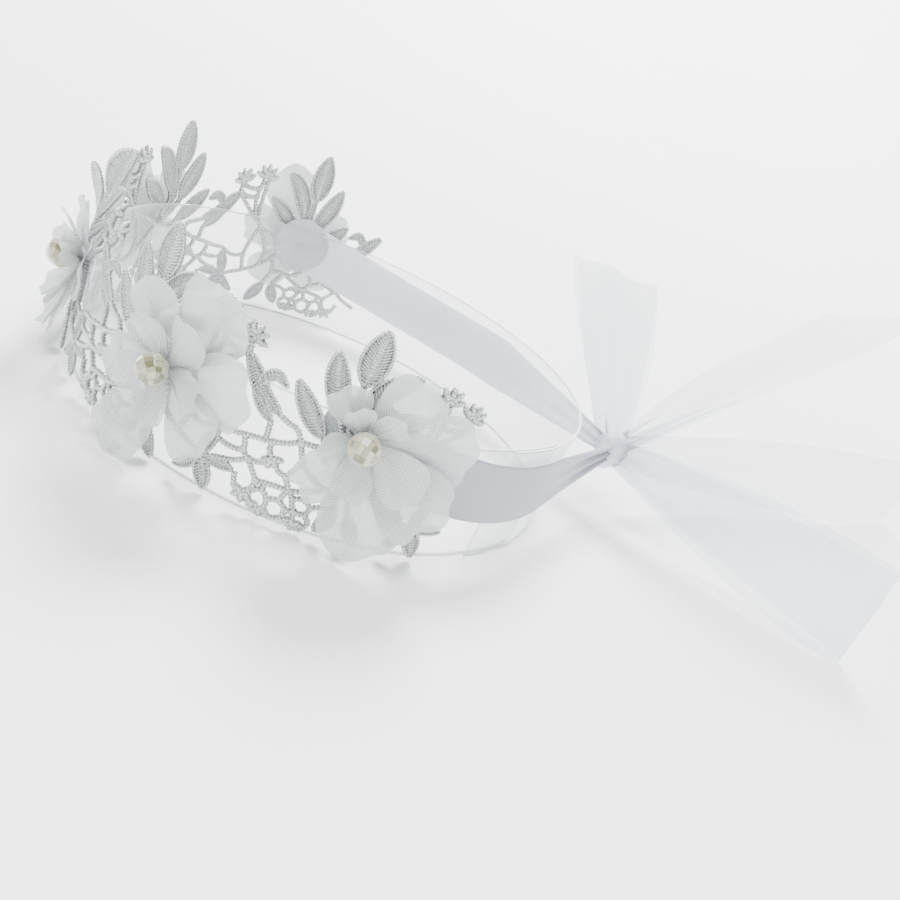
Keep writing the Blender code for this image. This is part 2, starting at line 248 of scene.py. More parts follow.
def lace_thread_material():
    material, wiring, shader = start_material("silvery_lace_thread", 0.25, Metallic=0.65)
    stitches = use_group(wiring, STITCHES, Pitch=0.3 * MM, Uneven=0.5, Twist=TWIST_PITCH)
    # Painted shade at the strands' sides, painted light on their crowns, brightened further by painted
    # glints.
    dark = (0.30, 0.315, 0.32, 1)
    light = (0.99, 1.0, 1.0, 1)
    glint = wiring.spread(stitches.outputs["Glint_Specks"], 0, 1, 0.6, 1.3)
    share = wiring.maths("POWER", wiring.maths("MULTIPLY", stitches.outputs["Painted_Crown_Light"], glint), 0.8)
    wiring.join(wiring.blend(share, dark, light), shader.inputs["Base Color"])
    wiring.join(wiring.spread(stitches.outputs["Glint_Specks"], 0, 1, 0.42, 0.12), shader.inputs["Roughness"])
    bump(wiring, shader, stitches.outputs["Height"], 0.15 * MM)
    return material


def organza_material(name, thread, gap, cover, openness, pitch):
    material, wiring, shader = start_material(name, 0.42, Sheen_Weight=0.2, Sheen_Roughness=0.4)
    weave = use_group(wiring, WEAVE, Pitch=pitch, Slack=0.4, Openness=openness)
    clouds = use_group(wiring, CLOUDS, Scale=90.0)
    shade = tuple(0.90 * level for level in thread[:3]) + (1,)
    threads = wiring.blend(clouds.outputs["Cloud"], shade, thread)
    # Colour turns to the gap colour where the threads sink; the petals' gap colour is painted shade between
    # the threads.
    wiring.join(wiring.blend(weave.outputs["Height"], gap, threads), shader.inputs["Base Color"])
    wiring.join(wiring.maths("MULTIPLY", weave.outputs["Cover"], cover), shader.inputs["Alpha"])
    bump(wiring, shader, weave.outputs["Height"], 0.12 * MM, 0.8)
    return material


def satin_material(name, dark, light, roughness):
    """Satin has a lustrous right side and a duller back, each in the colour given: for the ribbons the
    right side is painted in shade and the back painted as lit.
    """
    material, wiring, shader = start_material(name, roughness, Sheen_Weight=0.2)
    stitches = use_group(wiring, STITCHES, Pitch=0.25 * MM, Uneven=0.2)
    clouds = use_group(wiring, CLOUDS, Scale=30.0)
    wiring.join(wiring.blend(clouds.outputs["Cloud"], dark, light), shader.inputs["Base Color"])
    smoothest = wiring.spread(clouds.outputs["Cloud"], 0, 1, roughness + 0.06, roughness - 0.04)
    wiring.join(smoothest, shader.inputs["Roughness"])
    bump(wiring, shader, stitches.outputs["Height"], 0.02 * MM, 0.5)
    return material


def felt_material():
    material, wiring, shader = start_material("grey_felt", 0.95, Sheen_Weight=0.6)
    clouds = use_group(wiring, CLOUDS, Scale=900.0)
    patches = use_group(wiring, CLOUDS, Scale=140.0)
    dark = (0.42, 0.46, 0.49, 1)
    light = (0.62, 0.65, 0.67, 1)
    wiring.join(wiring.blend(patches.outputs["Cloud"], dark, light), shader.inputs["Base Color"])
    bump(wiring, shader, clouds.outputs["Cloud"], 0.4 * MM)
    return material


def pearl_material():
    """Each cut facet has its own painted reflection over the olive body, and a painted pale reflection lies
    along the ball's outline.
    """
    material, wiring, shader = start_material(
        "cut_pearl_coating", 0.16, Coat_Weight=1.0, Coat_Roughness=0.03, Coat_IOR=1.9
    )
    facing = wiring.add("ShaderNodeTexCoord")
    facet_reflections = wiring.add("ShaderNodeTexNoise", noise_dimensions="3D")
    facet_reflections.inputs["Scale"].default_value = 3.5
    facet_reflections.inputs["Detail"].default_value = 0
    wiring.join(facing.outputs["Normal"], facet_reflections.inputs["Vector"])
    depth = wiring.spread(facet_reflections.outputs[0], 0.35, 0.65, 0, 1)
    # The pearl's olive colour, varied per facet from dark to light as painted reflection.
    body = wiring.blend(depth, (0.13, 0.13, 0.05, 1), (0.46, 0.46, 0.28, 1))
    rim_reflection = wiring.add("ShaderNodeLayerWeight")
    rim_reflection.inputs["Blend"].default_value = 0.45
    share = wiring.maths("POWER", rim_reflection.outputs["Facing"], 2.2)
    # Painted pale reflection towards the outline.
    wiring.join(wiring.blend(share, body, (0.74, 0.74, 0.66, 1)), shader.inputs["Base Color"])
    return material


def clear_film_material(name, tint, painted_rim_tint, faint, strong):
    """Clear film: nearly unseen face on, painted whiter as a reflection where seen along its surface, and
    painted with lines of the given rim tint at its two rims.
    """
    material, wiring, shader = start_material(name, 0.06, Coat_Weight=0.5, Coat_Roughness=0.02)
    clouds = use_group(wiring, CLOUDS, Scale=25.0)
    slant = wiring.add("ShaderNodeLayerWeight")
    slant.inputs["Blend"].default_value = 0.5
    dull = tuple(0.9 * level for level in tint[:3]) + (1,)
    cloudy = wiring.blend(clouds.outputs["Cloud"], tint, dull)
    place = wiring.add("ShaderNodeUVMap", uv_map="cloth")
    apart = wiring.add("ShaderNodeSeparateXYZ")
    wiring.join(place.outputs[0], apart.inputs[0])
    # Masks for the painted lines along the two rims.
    below = wiring.spread(apart.outputs[1], 0, BAND_LINE, 1, 0)
    above = wiring.spread(apart.outputs[1], BAND_HEIGHT - BAND_LINE, BAND_HEIGHT, 0, 1)
    line = wiring.maths("MAXIMUM", below, above)
    # Painted reflection: the film turns more opaque, and so whiter, where seen along its surface.
    share = wiring.maths("POWER", slant.outputs["Facing"], 3.0)
    alpha = wiring.spread(share, 0, 1, faint, strong)
    line_alpha = wiring.maths("MULTIPLY", wiring.maths("POWER", line, 0.5), 0.75)
    wiring.join(wiring.maths("MAXIMUM", alpha, line_alpha), shader.inputs["Alpha"])
    wiring.join(wiring.blend(line, cloudy, painted_rim_tint), shader.inputs["Base Color"])
    bump(wiring, shader, clouds.outputs["Cloud"], 0.3 * MM, 0.3)
    return material


def floor_material():
    material, wiring, shader = start_material("pale_floor", 0.8)
    clouds = use_group(wiring, CLOUDS, Scale=2.0)
    shades = wiring.blend(clouds.outputs["Cloud"], (0.93, 0.935, 0.935, 1), (0.96, 0.96, 0.955, 1))
    wiring.join(shades, shader.inputs["Base Color"])
    return material


def dark_thread_material():
    material, wiring, shader = start_material("dark_sewing_thread", 0.7)
    stitches = use_group(wiring, STITCHES, Pitch=0.3 * MM, Uneven=0.4)
    # Painted glints: the thread is lighter at its speckled glints.
    dark = (0.05, 0.055, 0.055, 1)
    light = (0.20, 0.21, 0.21, 1)
    wiring.join(wiring.blend(stitches.outputs["Glint_Specks"], dark, light), shader.inputs["Base Color"])
    bump(wiring, shader, stitches.outputs["Height"], 0.15 * MM)
    return material


# Mesh helpers --------------------------------------------------------------------------------------


def finish_mesh(work, name, material, smooth=True):
    mesh = bpy.data.meshes.new(name)
    work.to_mesh(mesh)
    work.free()
    mesh.materials.append(material)
    if smooth:
        mesh.shade_smooth()
    return mesh


def add_piece(name, mesh, body):
    piece = bpy.data.objects.new(name, mesh)
    bpy.context.scene.collection.objects.link(piece)
    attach(piece, body)
    return piece


def cloth_grid(work, columns, rows, cut, place):
    """Adds a sheet of cells to the mesh, each corner where place(along, across) says, from 0 to 1.
    The weave lies on the flat cut: its length and width, or where cut(along, across) says."""
    if not callable(cut):
        size = cut

        def cut(along, across):
            return along * size[0], across * size[1]

    layer = work.loops.layers.uv.get("cloth") or work.loops.layers.uv.new("cloth")
    made = bmesh.ops.create_grid(work, x_segments=columns, y_segments=rows, size=0.5)
    corners = set(made["verts"])
    faces = {face for corner in corners for face in corner.link_faces}
    for face in faces:
        for loop in face.loops:
            spot = loop.vert.co
            loop[layer].uv = cut(spot.x + 0.5, spot.y + 0.5)
    for corner in corners:
        corner.co = place(corner.co.x + 0.5, corner.co.y + 0.5)
    bmesh.ops.remove_doubles(work, verts=made["verts"], dist=0.01 * MM)


def thicken(piece, wall, levels=0):
    shell = piece.modifiers.new("wall", "SOLIDIFY")
    shell.thickness = wall
    shell.offset = 0
    if levels:
        soften = piece.modifiers.new("soften", "SUBSURF")
        soften.levels = levels
        soften.render_levels = levels
    return piece


def smooth_path(points, step):
    """Points this far apart on a smooth line through the given ones."""
    ends = [points[0] * 2 - points[1], *points, points[-1] * 2 - points[-2]]
    line = []
    for index in range(1, len(ends) - 2):
        before, start, stop, after = ends[index - 1 : index + 3]
        count = max(2, math.ceil((stop - start).length / step))
        for tick in range(count):
            share = tick / count
            line.append(
                0.5
                * (
                    2 * start
                    + (stop - before) * share
                    + (2 * before - 5 * start + 4 * stop - after) * share**2
                    + (3 * start - before - 3 * stop + after) * share**3
                )
            )
    line.append(points[-1])
    return line


def add_strand(work, line, half_width, half_depth, sides, relief):
    """A closed strand along a line in the lace's plane, with relief(travelled, turn) pressed into it."""
    layer = work.loops.layers.uv.get("cloth") or work.loops.layers.uv.new("cloth")
    travelled = [0.0]
    for before, after in zip(line, line[1:]):
        travelled.append(travelled[-1] + (after - before).length)
    whole = travelled[-1]
    rings = []
    last = len(line) - 1
    for index, spot in enumerate(line):
        heading = (line[min(index + 1, last)] - line[max(index - 1, 0)]).normalized()
        side = heading.cross(Vector((0, 0, 1))).normalized()
        rise = side.cross(heading).normalized()
        share = travelled[index] / whole
        ring = []
        for step in range(sides):
            turn = TAU * step / sides
            swell = relief(travelled[index], turn)
            across = side * math.cos(turn) * half_width(share) * swell
            ring.append(work.verts.new(spot + across + rise * math.sin(turn) * half_depth(share) * swell))
        rings.append(ring)
    for index in range(last):
        for step in range(sides):
            beside = (step + 1) % sides
            face = work.faces.new(
                (rings[index][step], rings[index][beside], rings[index + 1][beside], rings[index + 1][step])
            )
            ends = (travelled[index], travelled[index], travelled[index + 1], travelled[index + 1])
            edges = (step, step + 1, step + 1, step)
            for loop, length, edge in zip(face.loops, ends, edges):
                loop[layer].uv = (length, edge / sides * STRAND_ROUND)
    work.faces.new(list(reversed(rings[0])))
    work.faces.new(rings[-1])


# Lace ----------------------------------------------------------------------------------------------

CORD_RADIUS = 0.8 * MM
STITCH_PITCH = 0.82 * MM
STITCH_RADIUS = 0.36 * MM
WHIP_PITCH = 0.95 * MM
RIM_RADIUS = 0.46 * MM
GROUND_DEPTH = 0.16 * MM
FAN_SPREAD = 150


def flat(along, up):
    """A point of the flat lace, given in millimetres from the foot of its tall leaf."""
    return Vector((along * MM, up * MM, 0))


def plain(travelled, turn):
    return 1


def twisted(travelled, turn):
    """Two threads laid round each other."""
    return 1 + 0.26 * math.cos(2 * (turn - TAU * travelled / TWIST_PITCH))


def whipped(travelled, turn):
    """One thread wound over an edge."""
    return 1 + 0.3 * math.cos(turn - TAU * travelled / WHIP_PITCH)


def add_twisted_cord(work, points, radius=CORD_RADIUS):
    line = smooth_path([flat(*point) for point in points], 0.26 * MM)
    add_strand(work, line, lambda share: radius, lambda share: radius, 8, twisted)


def leaf_profile(share, neck):
    """Half of a leaf's width along its length: a stem, a full belly and a blunt point."""
    blade = max(0.0, (share - neck) / (1 - neck))
    belly = math.sin(math.pi * min(1, blade) ** 0.9) ** 0.62 if blade < 1 else 0.0
    return max(belly, 0.2 * (1 - share))


def heading_at(line, index):
    last = len(line) - 1
    return (line[min(index + 1, last)] - line[max(index - 1, 0)]).normalized()


def add_stitch(work, start, stop):
    """One raised stitch, thick in the middle and tucked in at both ends."""
    line = [start.lerp(stop, share) for share in (0, 0.2, 0.5, 0.8, 1)]

    def plump(share):
        return STITCH_RADIUS * (0.45 + 0.55 * math.sin(math.pi * share) ** 0.5)

    add_strand(work, line, plump, lambda share: 1.35 * plump(share), 6, plain)


def add_stitched_leaf(work, points, width, neck=0.0):
    """A leaf of raised stitches that slant from its middle to a whipped edge."""
    line = smooth_path([flat(*point) for point in points], 0.2 * MM)
    half = width * MM / 2
    last = len(line) - 1
    length = sum((after - before).length for before, after in zip(line, line[1:]))

    def ground(share):
        return max(half * leaf_profile(share, neck) - RIM_RADIUS, 0.15 * MM)

    add_strand(work, line, ground, lambda share: GROUND_DEPTH, 8, plain)
    for stitch in range(int(length / STITCH_PITCH)):
        share = (stitch + 0.5) * STITCH_PITCH / length
        start = round(share * last)
        reach = half * leaf_profile(share, neck)
        stop = min(last, start + round(0.5 * reach / length * last))
        for side in (1, -1):
            inner = line[start] + heading_at(line, start).cross(Vector((0, 0, 1))) * side * 0.12 * MM
            reach = half * leaf_profile(stop / last, neck) - 0.3 * RIM_RADIUS
            outer = line[stop] + heading_at(line, stop).cross(Vector((0, 0, 1))) * side * reach
            if (outer - inner).length > 0.8 * STITCH_RADIUS:
                add_stitch(work, inner, outer)
    edge = []
    for side in (1, -1):
        run = range(last + 1) if side > 0 else range(last - 1, -1, -1)
        for index in run:
            across = heading_at(line, index).cross(Vector((0, 0, 1)))
            edge.append(line[index] + across * side * half * leaf_profile(index / last, neck))
    spaced = [edge[0]]
    for spot in edge:
        if (spot - spaced[-1]).length > 0.25 * MM:
            spaced.append(spot)
    add_strand(work, spaced, lambda share: RIM_RADIUS, lambda share: 1.3 * RIM_RADIUS, 8, whipped)


def add_picot_fan(work, centre, heading, reach=3.6, lobes=4):
    """A little fan of stitched loops at the edge of the lace."""
    for lobe in range(lobes):
        lean = math.radians(heading + FAN_SPREAD * (lobe / (lobes - 1) - 0.5))
        start = (centre[0] + 0.3 * math.cos(lean), centre[1] + 0.3 * math.sin(lean))
        stop = (centre[0] + reach * math.cos(lean), centre[1] + reach * math.sin(lean))
        line = smooth_path([flat(*start), flat(*stop)], 0.2 * MM)

        def plump(share):
            return 1.1 * MM * math.sin(math.pi * min(0.97, 0.12 + 0.85 * share)) ** 0.5

        def ridged(travelled, turn):
            return 1 + 0.16 * math.cos(TAU * travelled / (0.7 * MM) - turn)

        add_strand(work, line, plump, plump, 8, ridged)


def add_stitch_knot(work, centre, radius=1.15):
    """A lump of thread where cords of the net meet."""
    start = (centre[0] - radius * 0.9, centre[1] - 0.2)
    stop = (centre[0] + radius * 0.9, centre[1] + 0.2)
    line = smooth_path([flat(*start), flat(*stop)], 0.15 * MM)

    def plump(share):
        return radius * MM * math.sin(math.pi * (0.06 + 0.88 * share)) ** 0.6

    def lumpy(travelled, turn):
        return 1 + 0.14 * math.cos(3 * turn + travelled / MM * 5)

    add_strand(work, line, plump, lambda share: 0.75 * plump(share), 9, lumpy)


# Each leaf's middle line, its width and its neck's share of its length. Leaves, cords, fans and knots
# are in millimetres from the foot of the tall leaf.
LEAVES = (
    # the spray that stands above the band, from the tall leaf to the low ones
    (((-0.5, 38), (-0.3, 46), (0, 54), (0.2, 63.5)), 7.8, 0.38),
    (((-3.0, 36), (-5.2, 42), (-7.6, 48), (-9.2, 54)), 6.2, 0.12),
    (((-4.5, 29.5), (-7.8, 32.5), (-12.2, 37.5), (-16.2, 42.4)), 5.4, 0.05),
    (((1.2, 38), (3.6, 44.5), (8.0, 50.5), (13.4, 54.4)), 6.0, 0.12),
    (((3.0, 34), (7.5, 38), (12.5, 41.2), (17.4, 44.2)), 5.2, 0.10),
    # the stem that runs down to the next flower, its side leaf and its hooked leaf
    (((-30.6, 43.4), (-27.5, 39.8), (-23.6, 35.2), (-17.0, 31.2)), 4.2, 0.0),
    (((-26.0, 35.5), (-24.0, 33.4), (-21.4, 30.6), (-18.9, 28.6)), 3.0, 0.0),
    (((-25.2, 36.6), (-24.0, 39.4), (-21.4, 41.0), (-18.0, 39.2)), 2.6, 0.0),
    # the low spray on the flower's right
    (((28.5, 11.0), (29.2, 14.5), (30.9, 20.0)), 3.6, 0.0),
    (((29.6, 10.4), (33.5, 10.9), (38.2, 10.8)), 2.9, 0.0),
    (((28.6, 10.0), (30.4, 6.4), (32.4, 1.5)), 4.6, 0.0),
    (((28.0, 9.8), (25.2, 6.2), (22.0, 4.0)), 2.8, 0.0),
    # single leaves along the lower edge
    (((9.4, 10.0), (11.6, 5.8), (14.6, 1.4)), 4.2, 0.0),
    (((5.6, 10.2), (4.4, 6.6), (2.2, 3.0)), 4.2, 0.0),
)

CORDS = (
    # the long cord behind the flowers
    (
        ((-31.0, 21.4), (-26.0, 21.6), (-21.8, 22.5), (-16.6, 23.4))
        + ((-12.2, 25.0), (-9.5, 26.4), (-2.4, 27.2), (5, 28))
    ),
    ((-17.4, 31.4), (-14.5, 30.2), (-11.7, 29.4), (-9.5, 26.6)),
    ((-19.0, 28.8), (-18.7, 26.4), (-18.5, 23.2)),
    # the net of cords between two flowers
    ((-23.9, 22.2), (-23.1, 17.9), (-26.5, 16.9), (-30.4, 17.4)),
    ((-23.1, 17.9), (-20.9, 16.0), (-17.1, 16.6), (-14.7, 18.6)),
    ((-20.9, 16.0), (-24.5, 13.6), (-30.2, 11.8)),
    ((-20.9, 16.0), (-18.9, 13.4), (-17.1, 10.8), (-17.7, 8.0), (-19.6, 6.4)),
    ((-16.6, 23.4), (-16.4, 20.8), (-14.7, 18.6), (-12.4, 16.2), (-10.0, 15.2), (-7.8, 11.9)),
    ((-9.5, 26.4), (-8.2, 23.0), (-7.3, 21.2), (-9.0, 17.6), (-10.0, 15.2)),
    ((-7.3, 21.2), (-4.6, 18.8), (-1.0, 16.5), (3.0, 16.0)),
    ((-17.1, 10.8), (-14.4, 11.4), (-10.5, 11.8), (-7.8, 11.9), (-3.6, 13.4), (0.5, 15.4)),
    ((-23.0, 10.6), (-22.4, 8.2), (-21.2, 6.2), (-19.6, 6.4)),
    ((-17.1, 7.8), (-14.7, 9.1), (-12.5, 7.2), (-12.7, 4.2), (-15.2, 2.8), (-17.6, 4.8), (-17.1, 7.8)),
    ((-12.5, 7.2), (-9.5, 8.0), (-7.0, 6.0), (-7.8, 3.2), (-10.6, 2.4), (-12.7, 4.2)),
    (
        ((-9.5, 8.0), (-7.8, 11.9), (-6.2, 10.2), (-3.2, 11.0))
        + ((-0.9, 9.1), (-1.8, 6.7), (-4.5, 6.4), (-7.0, 6.0))
    ),
    ((-6.2, 10.2), (-5.6, 8.2), (-4.5, 6.4), (-4.2, 4.2), (-4.0, 2.6), (-7.8, 3.2)),
    ((-1.8, 6.7), (-0.2, 5.2), (0.0, 3.6), (-1.5, 1.8), (-4.0, 2.6)),
    ((-0.9, 9.1), (2.0, 10.4), (5.6, 10.6)),
    ((-14.4, 11.4), (-14.7, 9.1)),
    # stems behind the flower
    ((5.0, 28.0), (1.0, 33.0), (-0.5, 38.5)),
    ((5.0, 28.0), (0.0, 32.0), (-3.0, 36.5)),
    ((5.0, 28.0), (0.5, 28.6), (-4.6, 29.6)),
    ((5.0, 28.0), (3.0, 33.0), (1.2, 38.4)),
    ((5.0, 28.0), (3.6, 31.0), (3.0, 34.4)),
    ((5.0, 28.0), (9.0, 22.0), (14.0, 17.0), (20.0, 13.6), (28.4, 10.4)),
    ((9.0, 22.0), (7.6, 16.0), (9.4, 10.4)),
    ((7.6, 16.0), (3.0, 16.0), (5.6, 10.6)),
    ((20.0, 13.6), (21.5, 20.0), (20.4, 27.0), (18.4, 33.0)),
    ((21.5, 20.0), (26.0, 19.0), (30.6, 20.6)),
    ((14.0, 17.0), (13.4, 24.0), (18.4, 33.0)),
    # the branch that carries the two upper fans
    ((5.0, 28.0), (12.0, 31.0), (18.4, 33.0), (24.0, 37.4), (31.0, 43.4), (30.6, 47.4)),
    ((18.4, 33.0), (21.0, 38.0), (21.4, 43.6), (21.6, 49.4)),
    ((22.6, 37.4), (24.0, 43.2), (23.2, 49.4)),
    ((23.7, 46.4), (26.6, 45.6), (30.6, 46.0)),
    ((24.0, 43.0), (27.6, 42.6), (31.0, 43.4)),
)

# Each fan's centre, the way it points in degrees, its reach and how many loops it has
FANS = (
    ((22.4, 50.2), 88, 5.0, 5),
    ((30.8, 47.4), 66, 4.6, 5),
    ((-15.2, 19.0), -70, 3.4, 4),
    ((-19.2, 6.6), -112, 3.8, 4),
    ((-13.8, 4.4), -100, 3.4, 4),
    ((-3.6, 3.9), -96, 3.2, 5),
)

KNOTS = (
    (-23.1, 17.9),
    (-20.9, 16.0),
    (-17.1, 10.8),
    (-10.0, 15.2),
    (-7.8, 11.9),
    (-12.5, 7.2),
    (-7.0, 6.0),
    (-9.5, 26.4),
    (-16.6, 23.4),
    (-2.8, 10.9),
    (-4.4, 6.4),
    (24.0, 43.2),
    (31.0, 43.6),
    (28.4, 10.4),
)

# How far the leaves of each spray lean out of upright, in degrees: the tall leaf's lean, and how much
# that changes with each millimetre along the spray. The last number is how much taller they stand.
SPRAY_STANDS = (
    (2.0, 0.0, 1.15),
    (2.0, 0.0, 1.12),
    (-12.0, -3.5, 1.0),
    (0.0, 0.0, 1.0),
    (0.0, 0.0, 1.0),
)
LEAST_LEAN = -15
MOST_LEAN = 28


def flat_lace():
    work = bmesh.new()
    for points, width, neck in LEAVES:
        add_stitched_leaf(work, points, width, neck)
    for points in CORDS:
        add_twisted_cord(work, points)
    for centre, heading, reach, lobes in FANS:
        add_picot_fan(work, centre, heading, reach, lobes)
    for centre in KNOTS:
        add_stitch_knot(work, centre)
    return finish_mesh(work, "flat_lace", lace_thread)


def add_lace(repeat, pattern):
    """Bends a copy of the flat lace round the crown, its free leaves leaning as this spray's do."""
    mesh = pattern.copy()
    mesh.name = f"lace_{repeat + 1}"
    turn = spray_angle(repeat)
    tall_lean, twist, stretch = SPRAY_STANDS[repeat]
    for corner in mesh.vertices:
        along, up, out = corner.co
        lean = math.radians(max(LEAST_LEAN, min(MOST_LEAN, tall_lean + twist * along / MM)))
        free = stretch * max(0.0, up - BAND_HEIGHT)
        ripple = 0.25 * MM * math.sin(along / (4 * MM) + repeat) * min(1, free / (6 * MM))
        radius = LACE_RADIUS + out * math.cos(lean) + ripple + math.sin(lean) * free
        height = min(up, BAND_HEIGHT) + math.cos(lean) * free - out * math.sin(lean) * min(1, free / MM)
        angle = turn + math.degrees(along / LACE_RADIUS)
        corner.co = around(radius, angle, max(height, 0.4 * MM))
    piece = add_piece(f"lace_{repeat + 1}", mesh, "crown")
    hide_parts(f"lace_repeat_{repeat + 1}")


# Flowers -------------------------------------------------------------------------------------------

# How far each flower sits along the lace from its spray, and how high, in millimetres
FLOWER_SHIFTS = (0.0, 6.0, 13.0, 11.5, 4.7)
FLOWER_HEIGHTS = (30.5, 30.5, 30.5, 28.0, 34.0)

# Each petal's heading round its flower, its length in mm, and how far its edge curls out in mm
OUTER_PETALS = (
    ((64, 31, 6), (5, 24, 6), (-62, 25, 6), (-130, 25, 5), (145, 22, 5)),
    ((41, 29, 5), (-20, 25, 6), (-80, 25, 6), (-140, 24, 5), (115, 24, 5)),
    ((60, 21, 4), (2, 22, 4), (-55, 24, 6), (-100, 25, 7), (-150, 21, 4), (128, 19, 4)),
    ((120, 24, 4), (62, 33, 5), (12, 30, 6), (-34, 26, 6), (-104, 28, 7), (-165, 19, 5)),
    ((62, 25, 4), (12, 31, 5), (-32, 32, 9), (-72, 33, 8), (-118, 22, 5), (128, 17, 3)),
)
INNER_PETALS = (
    ((30, 16, 7), (110, 14, 6), (-170, 15, 7), (-100, 16, 7), (-35, 16, 7)),
    ((35, 16, 7), (110, 14, 6), (-175, 15, 7), (-105, 16, 7), (-38, 17, 7)),
    ((28, 15, 8), (105, 13, 8), (175, 14, 8), (-110, 16, 8), (-42, 17, 8)),
    ((58, 20, 7), (128, 15, 7), (-4, 17, 7), (-80, 16, 6), (-150, 14, 6)),
    ((55, 13, 6), (118, 12, 6), (-25, 21, 8), (-85, 16, 6), (-155, 12, 6)),
)
PETAL_HALF_SPREAD = math.radians(37)
PEARL_RADIUS = 4.6 * MM
PEARL_LIFT = 1.0 * MM
INNER_LIFT = 0.7 * MM


def petal_reach(share):
    """A petal's reach at this share of its half spread, with a broad rounded end."""
    return max(0.0, 1 - abs(share) ** 3.4) ** 0.42


def add_petal(work, heading, length, curl, lift, draw):
    """A petal that lies against the lace by its root, curls out and ripples at its scalloped edge."""
    turn = math.radians(heading)
    scallops = draw.choice((2.5, 3.0, 3.5))
    phase = draw.uniform(-0.8, 0.8)
    notch = draw.uniform(0.05, 0.09)
    ripples = draw.choice((2, 3))
    ripple = draw.uniform(0.5, 1.0) * MM
    tilt = draw.uniform(0.03, 0.07)
    grain = draw.uniform(0, math.pi)
    crease = draw.uniform(-0.3, 0.3)

    def polar(along, across):
        share = 2 * across - 1
        scallop = 1 - notch * (1 - abs(math.cos(scallops * share * math.pi / 2 + phase)))
        edge = max(petal_reach(share), 0.02) * scallop
        angle = share * PETAL_HALF_SPREAD * (1 - 0.06 * along)
        return share, angle, length * MM * along * edge

    def place(along, across):
        share, angle, reach = polar(along, across)
        height = curl * MM * (reach / (length * MM)) ** 2
        height += tilt * reach * math.sin(angle)
        height += ripple * along**3 * math.sin(ripples * share * math.pi + phase)
        height += 0.9 * MM * math.exp(-(((share - crease) / 0.12) ** 2)) * math.sin(math.pi * along) ** 2
        height -= 1.0 * MM * share**2 * math.sin(math.pi * along)
        height -= (reach * math.cos(turn + angle)) ** 2 / (2.6 * PETAL_RADIUS)
        return Vector((reach * math.cos(turn + angle), reach * math.sin(turn + angle), lift + height))

    def cut(along, across):
        share, angle, reach = polar(along, across)
        return reach * math.cos(angle + grain), reach * math.sin(angle + grain)

    cloth_grid(work, 16, 26, cut, place)


def add_petals(name, petals, lift, seat, node, seed):
    draw = random.Random(seed)
    work = bmesh.new()
    for heading, length, curl in petals:
        add_petal(work, heading, length, curl, lift + draw.uniform(0, 0.3) * MM, draw)
    mesh = finish_mesh(work, name, flower_organza)
    mesh.transform(seat)
    piece = add_piece(name, mesh, "crown")
    thicken(piece, 0.16 * MM, 1)
    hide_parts(node)


def add_pearl(number, seat):
    """A ball cut in flat facets, with softened edges between them."""
    work = bmesh.new()
    bmesh.ops.create_uvsphere(work, u_segments=11, v_segments=9, radius=PEARL_RADIUS)
    bmesh.ops.bevel(work, geom=work.edges[:], offset=0.12 * MM, segments=1, affect="EDGES")
    mesh = finish_mesh(work, f"cut_pearl_{number}", pearl_coating, smooth=False)
    turn = Matrix.Rotation(math.radians(17 * number), 4, "Z") @ Matrix.Rotation(math.radians(64), 4, "X")
    mesh.transform(seat @ Matrix.Translation((0, 0, PEARL_LIFT + PEARL_RADIUS)) @ turn)
    piece = add_piece(f"cut_pearl_{number}", mesh, "crown")
    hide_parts(f"pearl_{number}")


def add_flower(flower):
    number = flower + 1
    angle = spray_angle(flower) + math.degrees(FLOWER_SHIFTS[flower] * MM / LACE_RADIUS)
    seat = outward_frame(PETAL_RADIUS, angle, FLOWER_HEIGHTS[flower] * MM)
    outer, inner = OUTER_PETALS[flower], INNER_PETALS[flower]
    add_petals(f"flower_outer_{number}", outer, 0, seat, f"outer_petals_{number}", number)
    add_petals(f"flower_inner_{number}", inner, INNER_LIFT, seat, f"inner_petals_{number}", number + 20)
    add_pearl(number, seat)


# Backings ------------------------------------------------------------------------------------------


FELT_RADIUS = 11 * MM
SEWING_THREAD = 0.28 * MM


def pad_centre(node):
    low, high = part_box(node)
    middle = (low + high) / 2
    return math.degrees(math.atan2(middle.y, middle.x)), middle.z


def add_felt_disc(name, node):
    degrees, height = pad_centre(node)
    radius = FELT_RADIUS
    work = bmesh.new()

    def place(along, across):
        turn = TAU * along
        reach = radius * across * (1 + 0.012 * math.sin(9 * turn))
        shift = math.degrees(reach * math.cos(turn) / BAND_RADIUS)
        return around(BAND_RADIUS + 0.65 * MM, degrees + shift, height + reach * math.sin(turn))

    cloth_grid(work, 64, 6, (TAU * radius, radius), place)
    piece = add_piece(name, finish_mesh(work, name, grey_felt), "crown")
    thicken(piece, 0.6 * MM)
    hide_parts(node)


def add_sewn_knot(name, node):
    """A few turns of dark thread, drawn tight where a flower is sewn on."""
    degrees, height = pad_centre(node)
    seat = outward_frame(BAND_RADIUS + 1.0 * MM, degrees, height)
    work = bmesh.new()
    for loop, reach in enumerate((1.5, 1.2, 0.8)):
        ring = []
        for step in range(25):
            turn = TAU * step / 24
            along = reach * MM * math.cos(turn + loop)
            ring.append(Vector((along, 0.8 * reach * MM * math.sin(turn), loop * 0.12 * MM)))
        line = smooth_path(ring, 0.2 * MM)
        add_strand(work, line, lambda share: SEWING_THREAD, lambda share: SEWING_THREAD, 6, twisted)
    mesh = finish_mesh(work, name, dark_thread)
    mesh.transform(seat)
    piece = add_piece(name, mesh, "crown")
    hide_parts(node)


# Clear band ----------------------------------------------------------------------------------------

BAND_WALL = 0.6 * MM
LAP_START = 30.0
LAP = 26.0 * MM


